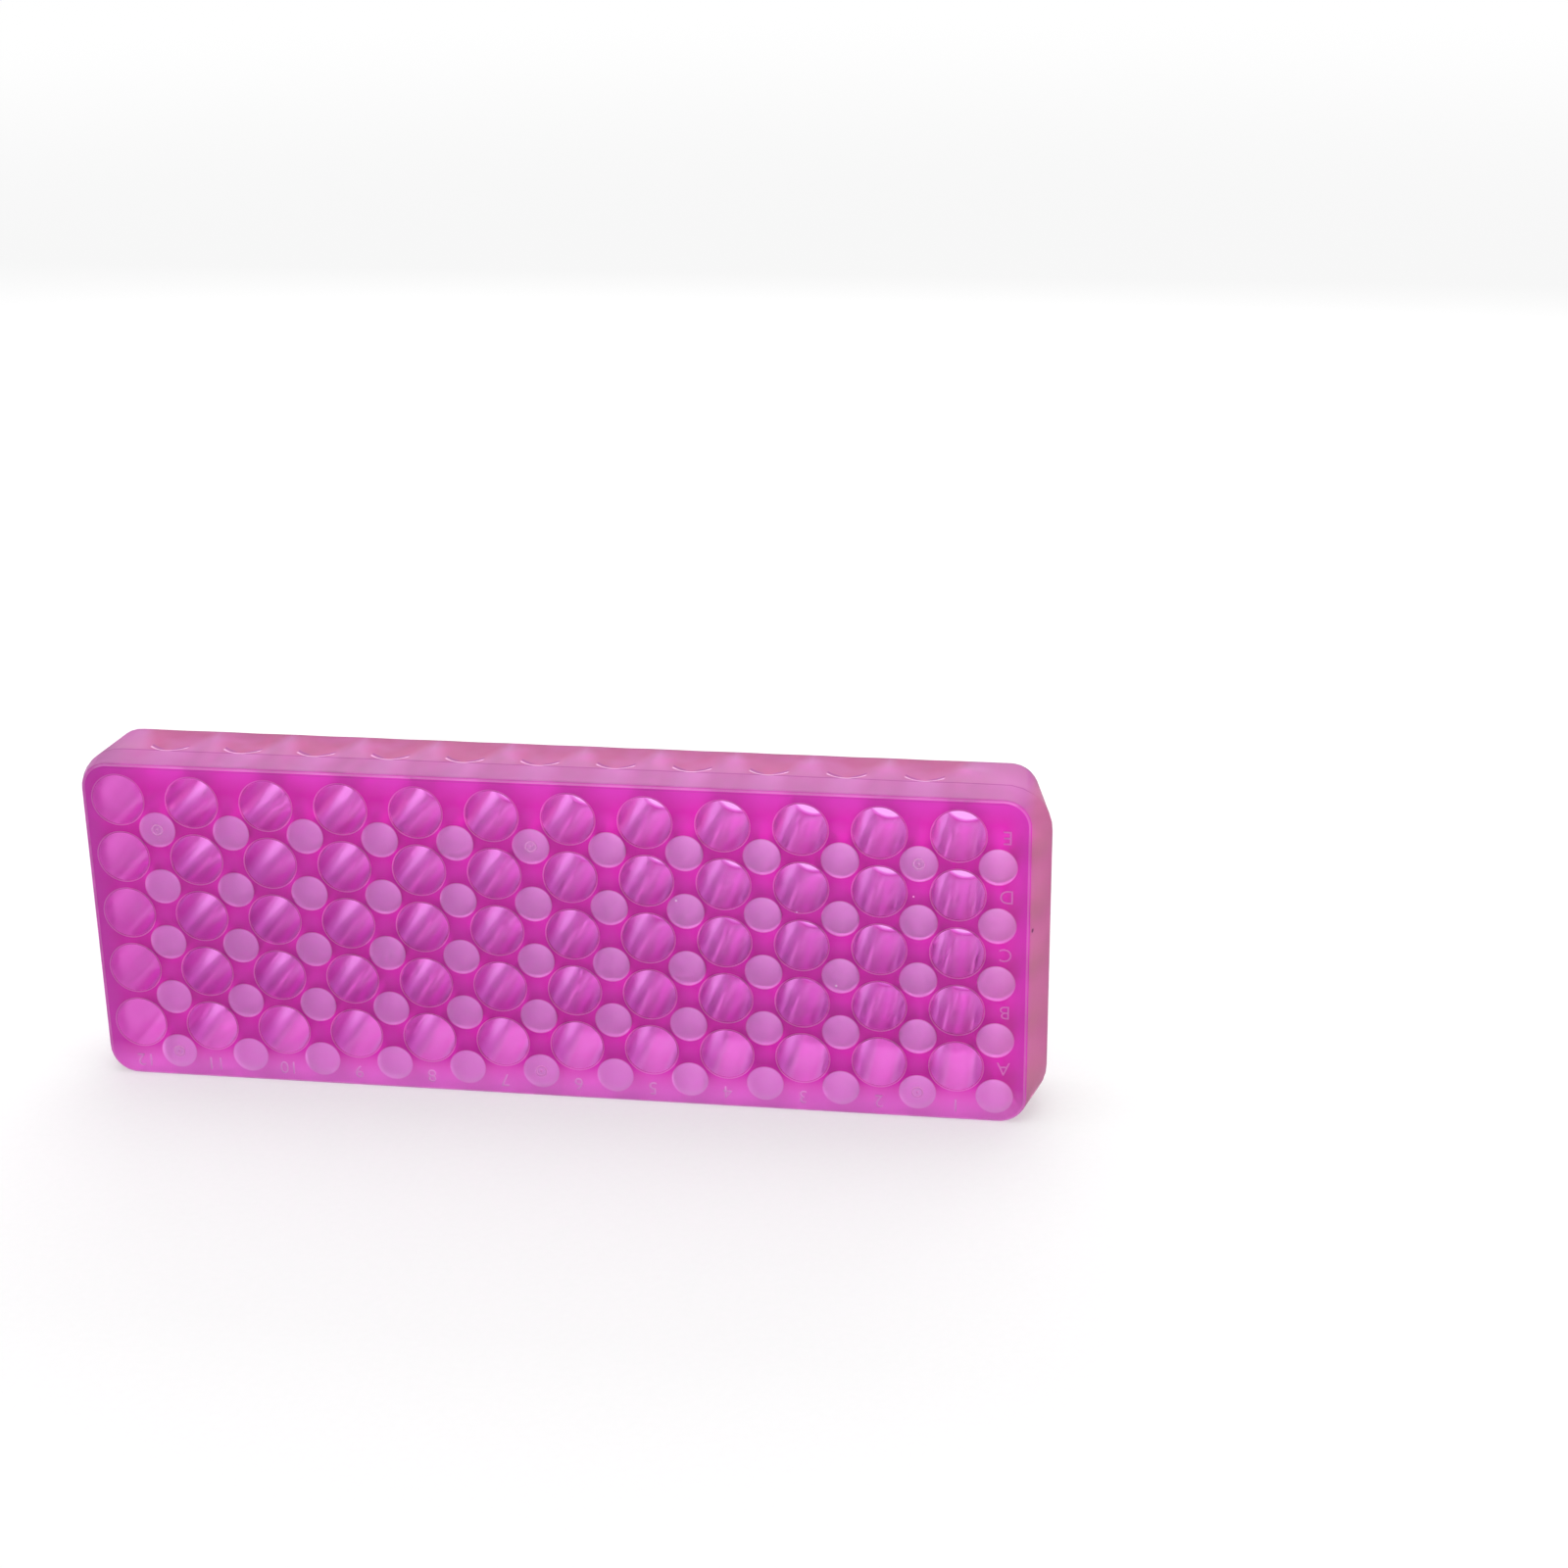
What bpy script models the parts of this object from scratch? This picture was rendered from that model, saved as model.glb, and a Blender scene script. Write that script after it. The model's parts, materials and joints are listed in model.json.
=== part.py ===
"""Reversible rack for small capped tubes, moulded in one piece.

The rack stands on one long wall, as it does on a shelf. X runs along it, Z is up, and the
large wells open towards -Y. The small wells open on the other face, half a pitch to the
right and half a pitch down. Each well ends in a thin floor that lies flush with the face
behind it. All sizes are in metres, and the origin is the middle of the footprint.
"""

import math

import bmesh
import bpy
from mathutils import Matrix, Vector

# Layout of the wells, the same on both faces
COLUMNS = 12
ROWS = 5

# Large wells, for 1.5 ml and 2 ml tubes
LARGE_MOUTH_DIAMETER = 0.0118
LARGE_FLOOR_DIAMETER = 0.0113

# Small wells, for 0.5 ml tubes
SMALL_MOUTH_DIAMETER = 0.0094
SMALL_FLOOR_DIAMETER = 0.0083

# Walls that are left between and around the wells
FLOOR_THICKNESS = 0.0012
LARGE_WELL_WEB = 0.0023
WELL_TO_WELL_WALL = 0.0009
LARGE_SIDE_WALL = 0.0029
SMALL_SIDE_WALL = 0.0018
LARGE_END_WALL = 0.0024
SMALL_END_WALL = 0.0025

# Block
BLOCK_DEPTH = 0.024
PARTING_DEPTH = 0.0096
END_FLARE = 0.0041
FACE_CORNER_RADIUS = 0.0063
EDGE_RADIUS = 0.0008

# Fineness of the curves
CORNER_SEGMENTS = 8
EDGE_SEGMENTS = 3
LARGE_WELL_SEGMENTS = 24
SMALL_WELL_SEGMENTS = 20

# A cutter starts this far outside the face that its well opens on
CUTTER_REACH = 0.002

# Sizes that follow from the ones above
LARGE_MOUTH_RADIUS = LARGE_MOUTH_DIAMETER / 2
LARGE_FLOOR_RADIUS = LARGE_FLOOR_DIAMETER / 2
SMALL_MOUTH_RADIUS = SMALL_MOUTH_DIAMETER / 2
SMALL_FLOOR_RADIUS = SMALL_FLOOR_DIAMETER / 2
WELL_DEPTH = BLOCK_DEPTH - FLOOR_THICKNESS
ROW_PITCH = LARGE_MOUTH_DIAMETER + LARGE_WELL_WEB
NEIGHBOUR_DISTANCE = WELL_TO_WELL_WALL + max(
    LARGE_FLOOR_RADIUS + SMALL_MOUTH_RADIUS,
    LARGE_MOUTH_RADIUS + SMALL_FLOOR_RADIUS,
)
COLUMN_PITCH = 2 * math.sqrt(NEIGHBOUR_DISTANCE**2 - (ROW_PITCH / 2) ** 2)
LARGE_END_MARGIN = LARGE_END_WALL + LARGE_MOUTH_RADIUS
SMALL_END_MARGIN = SMALL_END_WALL + SMALL_MOUTH_RADIUS
LARGE_SIDE_MARGIN = LARGE_SIDE_WALL + LARGE_MOUTH_RADIUS
SMALL_SIDE_MARGIN = SMALL_SIDE_WALL + SMALL_MOUTH_RADIUS
FACE_LENGTH = LARGE_END_MARGIN + (COLUMNS - 0.5) * COLUMN_PITCH + SMALL_END_MARGIN
FACE_HEIGHT = LARGE_SIDE_MARGIN + (ROWS - 0.5) * ROW_PITCH + SMALL_SIDE_MARGIN


def clear_scene():
    """Removes every object that the file holds."""
    for item in list(bpy.data.objects):
        bpy.data.objects.remove(item, do_unlink=True)


def plastic():
    """Gives the dyed translucent polypropylene of the rack."""
    material = bpy.data.materials.new("magenta_polypropylene")
    material.use_nodes = True
    shader = material.node_tree.nodes["Principled BSDF"]
    shader.inputs["Base Color"].default_value = (0.49, 0.03, 0.36, 1.0)
    shader.inputs["Roughness"].default_value = 0.35
    shader.inputs["Metallic"].default_value = 0.0
    return material


def flare_at(depth):
    """Tells how far each end stands out past the faces at a depth behind the front face."""
    if depth <= PARTING_DEPTH:
        return END_FLARE * depth / PARTING_DEPTH
    return END_FLARE * (BLOCK_DEPTH - depth) / (BLOCK_DEPTH - PARTING_DEPTH)


def block_sections():
    """Lists the block's sections from front to back as pairs of depth and edge inset."""
    sections = []
    for step in range(EDGE_SEGMENTS + 1):
        angle = math.radians(90) * step / EDGE_SEGMENTS
        sections.append((EDGE_RADIUS * (1 - math.cos(angle)), EDGE_RADIUS * (1 - math.sin(angle))))
    back = [(BLOCK_DEPTH - depth, inset) for depth, inset in reversed(sections)]
    return sections + [(PARTING_DEPTH, 0.0)] + back


def section_points(depth, inset):
    """Gives the rounded rectangle of one section, counter-clockwise seen from the front."""
    flare = flare_at(depth)
    half_length = FACE_LENGTH / 2 + flare - inset
    half_height = FACE_HEIGHT / 2 - inset
    radius = FACE_CORNER_RADIUS + flare - inset
    points = []
    for quarter, (side_x, side_z) in enumerate(((1, 1), (-1, 1), (-1, -1), (1, -1))):
        centre_x = side_x * (half_length - radius)
        centre_z = FACE_HEIGHT / 2 + side_z * (half_height - radius)
        for step in range(CORNER_SEGMENTS + 1):
            angle = math.radians(90) * (quarter + step / CORNER_SEGMENTS)
            x = centre_x + radius * math.cos(angle)
            z = centre_z + radius * math.sin(angle)
            points.append(Vector((x, depth - BLOCK_DEPTH / 2, z)))
    return points


def add_loop(shape, points):
    """Adds a closed loop of edges and returns those edges."""
    corners = [shape.verts.new(point) for point in points]
    return [shape.edges.new(pair) for pair in zip(corners, corners[1:] + corners[:1])]


def mesh_from(shape, name):
    """Turns the shape into a mesh with its faces pointing out."""
    bmesh.ops.recalc_face_normals(shape, faces=shape.faces)
    mesh = bpy.data.meshes.new(name)
    shape.to_mesh(mesh)
    shape.free()
    return mesh


def add_object(name, mesh):
    """Links a new object with this mesh to the scene."""
    item = bpy.data.objects.new(name, mesh)
    bpy.context.scene.collection.objects.link(item)
    return item


def block():
    """Lofts the solid block through its sections and closes both faces."""
    shape = bmesh.new()
    loops = [add_loop(shape, section_points(*section)) for section in block_sections()]
    for near, far in zip(loops, loops[1:]):
        bmesh.ops.bridge_loops(shape, edges=near + far)
    for loop in (loops[0], loops[-1]):
        bmesh.ops.contextual_create(shape, geom=loop)
    return add_object("rack_body", mesh_from(shape, "rack_body"))


def well_centres(offset):
    """Lists the well axes as X and Z, moved right and down by a share of the pitches."""
    first_x = -FACE_LENGTH / 2 + LARGE_END_MARGIN
    first_z = FACE_HEIGHT - LARGE_SIDE_MARGIN
    return [
        (first_x + (column + offset) * COLUMN_PITCH, first_z - (row + offset) * ROW_PITCH)
        for row in range(ROWS)
        for column in range(COLUMNS)
    ]


def well_cutter(name, centres, mouth_radius, floor_radius, segments, facing):
    """Makes the tapered plugs that cut the wells of the face on one side of the block.

    The plugs keep the well's taper outside the face too. Facing is -1 for the front, 1 for the back.
    """
    taper = (mouth_radius - floor_radius) / WELL_DEPTH
    outer_radius = mouth_radius + taper * CUTTER_REACH
    length = WELL_DEPTH + CUTTER_REACH
    middle_y = facing * (BLOCK_DEPTH / 2 + CUTTER_REACH - length / 2)
    lay_down = Matrix.Rotation(math.radians(-90) * facing, 4, "X")
    shape = bmesh.new()
    for x, z in centres:
        bmesh.ops.create_cone(
            shape,
            cap_ends=True,
            segments=segments,
            radius1=floor_radius,
            radius2=outer_radius,
            depth=length,
            matrix=Matrix.Translation((x, middle_y, z)) @ lay_down,
        )
    cutter = add_object(name, mesh_from(shape, name))
    cutter.display_type = "WIRE"
    cutter.hide_render = True
    return cutter


def cut(body, cutter):
    """Cuts the body with an exact Boolean difference."""
    step = body.modifiers.new(cutter.name, "BOOLEAN")
    step.operation = "DIFFERENCE"
    step.solver = "EXACT"
    step.object = cutter


def build():
    """Builds the rack: one block, cut from both faces."""
    clear_scene()
    body = block()
    body.data.materials.append(plastic())
    large_cutter = well_cutter(
        "large_well_cutter",
        well_centres(0.0),
        LARGE_MOUTH_RADIUS,
        LARGE_FLOOR_RADIUS,
        LARGE_WELL_SEGMENTS,
        facing=-1,
    )
    small_cutter = well_cutter(
        "small_well_cutter",
        well_centres(0.5),
        SMALL_MOUTH_RADIUS,
        SMALL_FLOOR_RADIUS,
        SMALL_WELL_SEGMENTS,
        facing=1,
    )
    cut(body, large_cutter)
    cut(body, small_cutter)
    body.data.shade_smooth()
    body.data.set_sharp_from_angle(angle=math.radians(30))


build()
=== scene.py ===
"""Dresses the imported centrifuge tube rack: one magenta moulding with wells sunk from both faces.

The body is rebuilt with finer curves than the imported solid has, with its rounded well mouths,
its parting line and its sink marks, and takes the place of the node "rack_body". The raised
row letters, column numbers and gate rings are separate small pieces on its front face.

All lengths are in metres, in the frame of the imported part: X runs along the rack, Z is up, the
large wells open towards -Y and the rack stands on its long wall at Z = 0.
"""

import json
import logging
import math
from collections.abc import Iterable, Sequence
from dataclasses import dataclass, field
from enum import Enum

import bmesh
import bpy
from mathutils import Matrix, Vector
from mathutils.kdtree import KDTree

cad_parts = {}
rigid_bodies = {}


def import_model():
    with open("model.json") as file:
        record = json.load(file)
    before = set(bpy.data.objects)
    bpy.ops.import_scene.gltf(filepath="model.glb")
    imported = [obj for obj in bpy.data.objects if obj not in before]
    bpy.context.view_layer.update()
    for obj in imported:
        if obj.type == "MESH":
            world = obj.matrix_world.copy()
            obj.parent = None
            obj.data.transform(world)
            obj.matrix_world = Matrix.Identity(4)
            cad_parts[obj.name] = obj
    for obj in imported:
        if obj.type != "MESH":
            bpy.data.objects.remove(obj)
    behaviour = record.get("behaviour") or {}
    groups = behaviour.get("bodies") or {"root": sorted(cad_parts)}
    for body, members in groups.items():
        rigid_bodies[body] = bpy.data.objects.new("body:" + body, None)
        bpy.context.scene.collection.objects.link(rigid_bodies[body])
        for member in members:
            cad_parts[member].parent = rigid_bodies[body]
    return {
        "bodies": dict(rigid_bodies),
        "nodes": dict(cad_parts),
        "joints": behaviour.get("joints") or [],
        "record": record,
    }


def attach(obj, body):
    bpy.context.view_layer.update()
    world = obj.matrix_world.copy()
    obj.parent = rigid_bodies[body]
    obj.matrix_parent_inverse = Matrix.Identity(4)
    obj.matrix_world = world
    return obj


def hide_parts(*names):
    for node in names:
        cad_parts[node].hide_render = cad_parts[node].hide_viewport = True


LOG = logging.getLogger("rack")
MM = 0.001
NODE = "rack_body"
LIE_IN_XZ = Matrix.Rotation(math.radians(90), 4, "X")
WELD = 0.001 * MM
DARK = (0.0, 0.0, 0.0)

Socket = bpy.types.NodeSocket
Tint = tuple[float, float, float]
Place = tuple[float, float, float]


class Side(Enum):
    """The two faces of the rack, by the way that each one looks along Y."""

    FRONT = -1
    BACK = 1


@dataclass(frozen=True)
class RackSizes:
    """Main sizes of the rack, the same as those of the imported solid."""

    columns: int = 12
    rows: int = 5
    large_mouth: float = 5.90 * MM
    large_floor: float = 5.65 * MM
    small_mouth: float = 4.70 * MM
    small_floor: float = 4.15 * MM
    row_pitch: float = 14.10 * MM
    well_wall: float = 0.90 * MM
    floor_thickness: float = 1.20 * MM
    depth: float = 24.00 * MM
    parting_depth: float = 9.60 * MM
    end_flare: float = 4.10 * MM
    corner_radius: float = 6.30 * MM
    edge_radius: float = 0.80 * MM
    large_end_margin: float = 8.30 * MM
    small_end_margin: float = 7.20 * MM
    large_side_margin: float = 8.80 * MM
    small_side_margin: float = 6.50 * MM

    @property
    def column_pitch(self) -> float:
        """Distance between two columns, from the wall left between a large and a small well."""
        apart = self.well_wall + max(
            self.large_floor + self.small_mouth, self.large_mouth + self.small_floor
        )
        return 2 * math.sqrt(apart**2 - (self.row_pitch / 2) ** 2)

    @property
    def length(self) -> float:
        """Length of both faces."""
        run = (self.columns - 0.5) * self.column_pitch
        return self.large_end_margin + run + self.small_end_margin

    @property
    def height(self) -> float:
        """Height of both faces."""
        run = (self.rows - 0.5) * self.row_pitch
        return self.large_side_margin + run + self.small_side_margin

    @property
    def first_axis(self) -> Vector:
        """Axis of the upper left large well, on the middle plane."""
        x = -self.length / 2 + self.large_end_margin
        return Vector((x, 0.0, self.height - self.large_side_margin))

    def axis(self, column: float, row: float) -> Vector:
        """Place of a well axis on the middle plane.

        Args:
            column: Column counted from the left, in pitches of the large wells.
            row: Row counted from the top, in pitches of the large wells.

        Returns:
            The point where the axis crosses the middle plane.
        """
        return self.first_axis + Vector((column * self.column_pitch, 0.0, -row * self.row_pitch))

    def flare(self, depth: float) -> float:
        """How far each end stands out past the faces at a depth behind the front face."""
        if depth <= self.parting_depth:
            return self.end_flare * depth / self.parting_depth
        return self.end_flare * (self.depth - depth) / (self.depth - self.parting_depth)


@dataclass
class WellSheet:
    """One face of the rack with its sunk wells, as an open sheet of connected cells.

    Each cell is a rectangle of one pitch with a round well in it. Half a cell more is added on
    the two sides where this face has no well, so both faces end in the same grid lines.
    """

    sizes: RackSizes
    side: Side
    mouth: float
    floor: float
    steps: int = 12
    mouth_rounding: float = 0.28 * MM
    floor_rounding: float = 0.70 * MM
    rounding_segments: int = 3

    @property
    def inward(self) -> float:
        """Sign of Y from this face into the body."""
        return -float(self.side.value)

    @property
    def face_y(self) -> float:
        """Y of this face."""
        return self.side.value * self.sizes.depth / 2

    @property
    def offset(self) -> float:
        """Share of both pitches by which this face's wells are moved right and down."""
        return 0.0 if self.side is Side.FRONT else 0.5

    def cell(self, shape: bmesh.types.BMesh) -> None:
        """Models one cell round the origin: frame, rounded mouth, tapered wall and floor.

        Args:
            shape: An empty bmesh that takes the cell.
        """
        frame = bmesh.ops.create_grid(
            shape, x_segments=1, y_segments=1, size=0.5, matrix=LIE_IN_XZ
        )["verts"]
        bmesh.ops.scale(shape, verts=frame, vec=(self.sizes.column_pitch, 1, self.sizes.row_pitch))
        bmesh.ops.delete(shape, geom=list(shape.faces), context="FACES_ONLY")
        bmesh.ops.subdivide_edges(shape, edges=list(shape.edges), cuts=self.steps - 1)
        frame_edges = list(shape.edges)
        ring = bmesh.ops.create_circle(
            shape,
            cap_ends=False,
            segments=4 * self.steps,
            radius=self.mouth,
            matrix=LIE_IN_XZ,
        )["verts"]
        mouth_edges = edges_of(ring)
        bmesh.ops.bridge_loops(shape, edges=frame_edges + mouth_edges)
        floor_ring, floor_edges = grown(shape, mouth_edges)
        shrink = self.floor / self.mouth
        bmesh.ops.scale(shape, verts=floor_ring, vec=(shrink, 1, shrink))
        well_depth = self.sizes.depth - self.sizes.floor_thickness
        bmesh.ops.translate(shape, verts=floor_ring, vec=(0, self.inward * well_depth, 0))
        bmesh.ops.contextual_create(shape, geom=floor_edges)
        for edges, rounding in (
            (mouth_edges, self.mouth_rounding),
            (floor_edges, self.floor_rounding),
        ):
            bmesh.ops.bevel(
                shape,
                geom=edges,
                offset=rounding,
                segments=self.rounding_segments,
                profile=0.5,
                affect="EDGES",
                material=-1,
            )

    def build(self) -> bpy.types.Mesh:
        """Repeats the cell over the face and adds the half cells.

        Returns:
            A mesh of the whole sheet, in place, with one boundary loop.
        """
        shape = bmesh.new()
        self.cell(shape)
        start = self.sizes.axis(self.offset, self.offset) + Vector((0, self.face_y, 0))
        bmesh.ops.translate(shape, verts=list(shape.verts), vec=start)
        self.repeat(shape, self.sizes.columns, Vector((self.sizes.column_pitch, 0, 0)))
        self.repeat(shape, self.sizes.rows, Vector((0, 0, -self.sizes.row_pitch)))
        bmesh.ops.remove_doubles(shape, verts=list(shape.verts), dist=WELD)
        self.add_half_cells(shape)
        mesh = bpy.data.meshes.new(f"{self.side.name.lower()}_sheet")
        shape.to_mesh(mesh)
        shape.free()
        return mesh

    def repeat(self, shape: bmesh.types.BMesh, count: int, step: Vector) -> None:
        """Copies all that is in the shape along a step until there are count of it."""
        first = list(shape.verts) + list(shape.edges) + list(shape.faces)
        for number in range(1, count):
            copy = bmesh.ops.duplicate(shape, geom=first)["geom"]
            bmesh.ops.translate(shape, verts=verts_in(copy), vec=step * number)

    def add_half_cells(self, shape: bmesh.types.BMesh) -> None:
        """Extrudes the sheet by half a pitch towards the sides that have no wells.

        Args:
            shape: The sheet of whole cells, whose boundary is a rectangle.
        """
        towards = -1.0 if self.side is Side.BACK else 1.0
        for axis, reach in ((0, self.sizes.column_pitch / 2), (2, self.sizes.row_pitch / 2)):
            sign = towards if axis == 0 else -towards
            rim = [edge for edge in shape.edges if edge.is_boundary]
            limit = max(sign * vert.co[axis] for edge in rim for vert in edge.verts)
            outer = [
                edge
                for edge in rim
                if all(sign * vert.co[axis] > limit - 0.01 * MM for vert in edge.verts)
            ]
            shift = Vector((0, 0, 0))
            shift[axis] = sign * reach
            bmesh.ops.translate(shape, verts=grown(shape, outer)[0], vec=shift)
        longest = 1.5 * self.sizes.column_pitch / self.steps
        wide = [e for e in shape.edges if e.is_boundary and e.calc_length() > longest]
        bmesh.ops.subdivide_edges(shape, edges=wide, cuts=self.steps // 2 - 1)


def verts_in(geometry: Iterable[object]) -> list[bmesh.types.BMVert]:
    """Picks the vertices out of what an operator gives back."""
    return [part for part in geometry if isinstance(part, bmesh.types.BMVert)]


def grown(
    shape: bmesh.types.BMesh, edges: Sequence[bmesh.types.BMEdge]
) -> tuple[list[bmesh.types.BMVert], list[bmesh.types.BMEdge]]:
    """Extrudes edges, still in place.

    Args:
        shape: The shape that they belong to.
        edges: The edges.

    Returns:
        The new vertices and the new edges between them.
    """
    new = bmesh.ops.extrude_edge_only(shape, edges=edges)["geom"]
    verts = verts_in(new)
    kept = set(verts)
    lines = (part for part in new if isinstance(part, bmesh.types.BMEdge))
    return verts, [line for line in lines if set(line.verts) <= kept]


def edges_of(verts: Iterable[bmesh.types.BMVert]) -> list[bmesh.types.BMEdge]:
    """Lists the edges at the vertices once each, in an order that is the same in each run."""
    return list(dict.fromkeys(edge for vert in verts for edge in vert.link_edges))


def blend_step(value: float) -> float:
    """Smooth step from 0 to 1 as the value goes from 0 to 1."""
    value = min(max(value, 0.0), 1.0)
    return value * value * (3 - 2 * value)


@dataclass(frozen=True)
class SinkMarks:
    """Shallow basins on the upper long wall, where the plastic under it is thickest.

    Each basin lies behind the parting line over one column of small wells, and starts in a
    curved lip that points to the front.
    """

    count: int = 11
    half_width: float = 4.6 * MM
    lip_gap: float = 0.35 * MM
    lip_bow: float = 2.4 * MM
    lip_width: float = 0.42 * MM
    lip_drop: float = 0.30 * MM
    lip_run: float = 5.0 * MM
    bowl_power: float = 1.2
    bead: float = 0.07 * MM
    bead_lead: float = 0.55
    bead_steepness: float = 4.0
    valley: float = 0.30 * MM
    valley_half_width: float = 6.2 * MM
    valley_start: float = 0.5 * MM
    valley_run: float = 5.0 * MM
    rear_share: float = 0.28
    rear_rise: float = 0.8
    front_dip: float = 0.06 * MM
    dip_run: float = 3.0 * MM

    def drop(self, sizes: RackSizes, x: float, depth: float) -> float:
        """How far the wall is sunk at a point.

        Args:
            sizes: Sizes of the rack, for the places of the columns.
            x: Place along the rack.
            depth: Distance behind the front face.

        Returns:
            The drop below the flat wall, negative on the raised bead of the lip.
        """
        column = round((x - sizes.axis(0.5, 0).x) / sizes.column_pitch)
        column = min(max(column, 0), self.count - 1)
        across = x - sizes.axis(0.5 + column, 0).x
        side = across / self.half_width
        behind = depth - sizes.parting_depth
        lip = self.lip_gap + self.lip_bow * side * side
        bowl = max(0.0, 1 - side * side) ** self.bowl_power
        past = (behind - lip) / self.lip_width
        fade = 1 - blend_step((behind - lip) / self.lip_run)
        total = self.lip_drop * bowl * blend_step(past) * fade
        ahead = (past + self.bead_lead) ** 2
        total -= self.bead * bowl * math.exp(-ahead * self.bead_steepness)
        wide = math.exp(-((across / self.valley_half_width) ** 2) * 2)
        reach = blend_step((behind - self.valley_start) / self.valley_run)
        rear = self.rear_share * sizes.depth
        rise = 1 - self.rear_rise * blend_step((depth - sizes.depth + rear) / rear)
        total += self.valley * wide * reach * rise
        if behind < 0:
            dip = blend_step(depth / self.dip_run) * blend_step(-behind / MM)
            total += self.front_dip * wide * dip
        return total


@dataclass
class RackBody:
    """The one-piece moulding: two well sheets joined by the flared outer wall."""

    sizes: RackSizes = field(default_factory=RackSizes)
    sinks: SinkMarks = field(default_factory=SinkMarks)
    rim_inset: float = 1.0 * MM
    edge_steps: int = 4
    parting_groove: float = 0.06 * MM
    parting_half_width: float = 0.14 * MM
    front_rings: int = 7
    lip_rings: int = 17
    lip_reach: float = 3.1 * MM
    back_rings: int = 8
    fine_cuts: int = 2

    def build(self) -> bpy.types.Object:
        """Models the whole body.

        Returns:
            The new object, at the origin.
        """
        sheets = (
            WellSheet(self.sizes, Side.FRONT, self.sizes.large_mouth, self.sizes.large_floor),
            WellSheet(self.sizes, Side.BACK, self.sizes.small_mouth, self.sizes.small_floor),
        )
        shape = bmesh.new()
        for sheet in sheets:
            mesh = sheet.build()
            shape.from_mesh(mesh)
            bpy.data.meshes.remove(mesh)
        self.fit_to_outline(shape)
        self.raise_wall(shape)
        bmesh.ops.remove_doubles(shape, verts=list(shape.verts), dist=2 * WELD)
        self.refine_upper_wall(shape)
        self.sink_upper_wall(shape)
        self.mark_wells(shape)
        bmesh.ops.recalc_face_normals(shape, faces=list(shape.faces))
        return finished(shape, "moulded_body")

    def mark_wells(self, shape: bmesh.types.BMesh) -> None:
        """Gives the inside of the wells the second material.

        Args:
            shape: The whole body.
        """
        inner = self.sizes.depth / 2 - 0.01 * MM
        wells = [
            (self.sizes.axis(column + offset, row + offset), radius + 0.05 * MM)
            for offset, radius in ((0.0, self.sizes.large_mouth), (0.5, self.sizes.small_mouth))
            for column in range(self.sizes.columns)
            for row in range(self.sizes.rows)
        ]
        tree = KDTree(len(wells))
        for number, (axis, _) in enumerate(wells):
            tree.insert(axis, number)
        tree.balance()
        for face in shape.faces:
            middle = face.calc_center_median()
            if abs(middle.y) < inner:
                near = tree.find_n((middle.x, 0.0, middle.z), 2)
                inside = any(apart < wells[number][1] for _, number, apart in near)
                face.material_index = int(inside)

    def squeeze(self, shape: bmesh.types.BMesh) -> None:
        """Draws the outermost grid lines in to the flat part of the faces.

        Args:
            shape: Both sheets, which reach half a pitch past their outermost wells.
        """
        first, last = self.sizes.axis(0, 0), self.sizes.axis(11.5, 4.5)
        lip = 0.45 * MM
        half_length = self.sizes.length / 2 - self.rim_inset
        large, small = self.sizes.large_mouth + lip, self.sizes.small_mouth + lip
        spans = (
            (0, -1, first.x - large, -half_length),
            (0, 1, last.x + small, half_length),
            (2, 1, first.z + large, self.sizes.height - self.rim_inset),
            (2, -1, last.z - small, self.rim_inset),
        )
        for axis, sign, fixed, wanted in spans:
            raw = self.raw_edge(axis, sign)
            for vert in shape.verts:
                if sign * (vert.co[axis] - fixed) > 0:
                    share = (vert.co[axis] - fixed) / (raw - fixed)
                    vert.co[axis] = fixed + share * (wanted - fixed)

    def raw_edge(self, axis: int, sign: int) -> float:
        """Where the cells end before they are fitted to the face.

        Args:
            axis: 0 for X and 2 for Z.
            sign: Which end of that axis.

        Returns:
            The place along the axis.
        """
        if axis == 0:
            column = -0.5 if sign < 0 else self.sizes.columns
            return self.sizes.axis(column, 0).x
        row = -0.5 if sign > 0 else self.sizes.rows
        return self.sizes.axis(0, row).z

    def outline_frame(self, point: Vector) -> tuple[Vector, Vector]:
        """Splits a point on the face outline into its corner centre and outward direction.

        Args:
            point: A point near the outline.

        Returns:
            The nearest point of the core rectangle and the unit vector out of it, both with
            the middle of the face as origin in Z.
        """
        core_x = self.sizes.length / 2 - self.sizes.corner_radius
        core_z = self.sizes.height / 2 - self.sizes.corner_radius
        flat = Vector((point.x, 0, point.z - self.sizes.height / 2))
        core = Vector((min(max(flat.x, -core_x), core_x), 0, min(max(flat.z, -core_z), core_z)))
        return core, (flat - core).normalized()

    def on_section(self, frame: tuple[Vector, Vector], depth: float, inset: float) -> Vector:
        """Gives the place of an outline point on one section of the block.

        Args:
            frame: What outline_frame gave for the point.
            depth: Distance of the section behind the front face.
            inset: How far the section lies inside the full outline.

        Returns:
            The point in space.
        """
        core, out = frame
        flare = self.sizes.flare(depth)
        radius = self.sizes.corner_radius + flare - inset
        core_z = self.sizes.height / 2 - self.sizes.corner_radius
        z = core.z * (core_z - flare) / core_z + radius * out.z + self.sizes.height / 2
        return Vector((core.x + radius * out.x, depth - self.sizes.depth / 2, z))

    def fit_to_outline(self, shape: bmesh.types.BMesh) -> None:
        """Gives the rim of both sheets the rounded outline of the faces."""
        self.squeeze(shape)
        for vert in shape.verts:
            if vert.is_boundary:
                depth = vert.co.y + self.sizes.depth / 2
                vert.co = self.on_section(self.outline_frame(vert.co), 0, self.rim_inset)
                vert.co.y = depth - self.sizes.depth / 2

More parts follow.
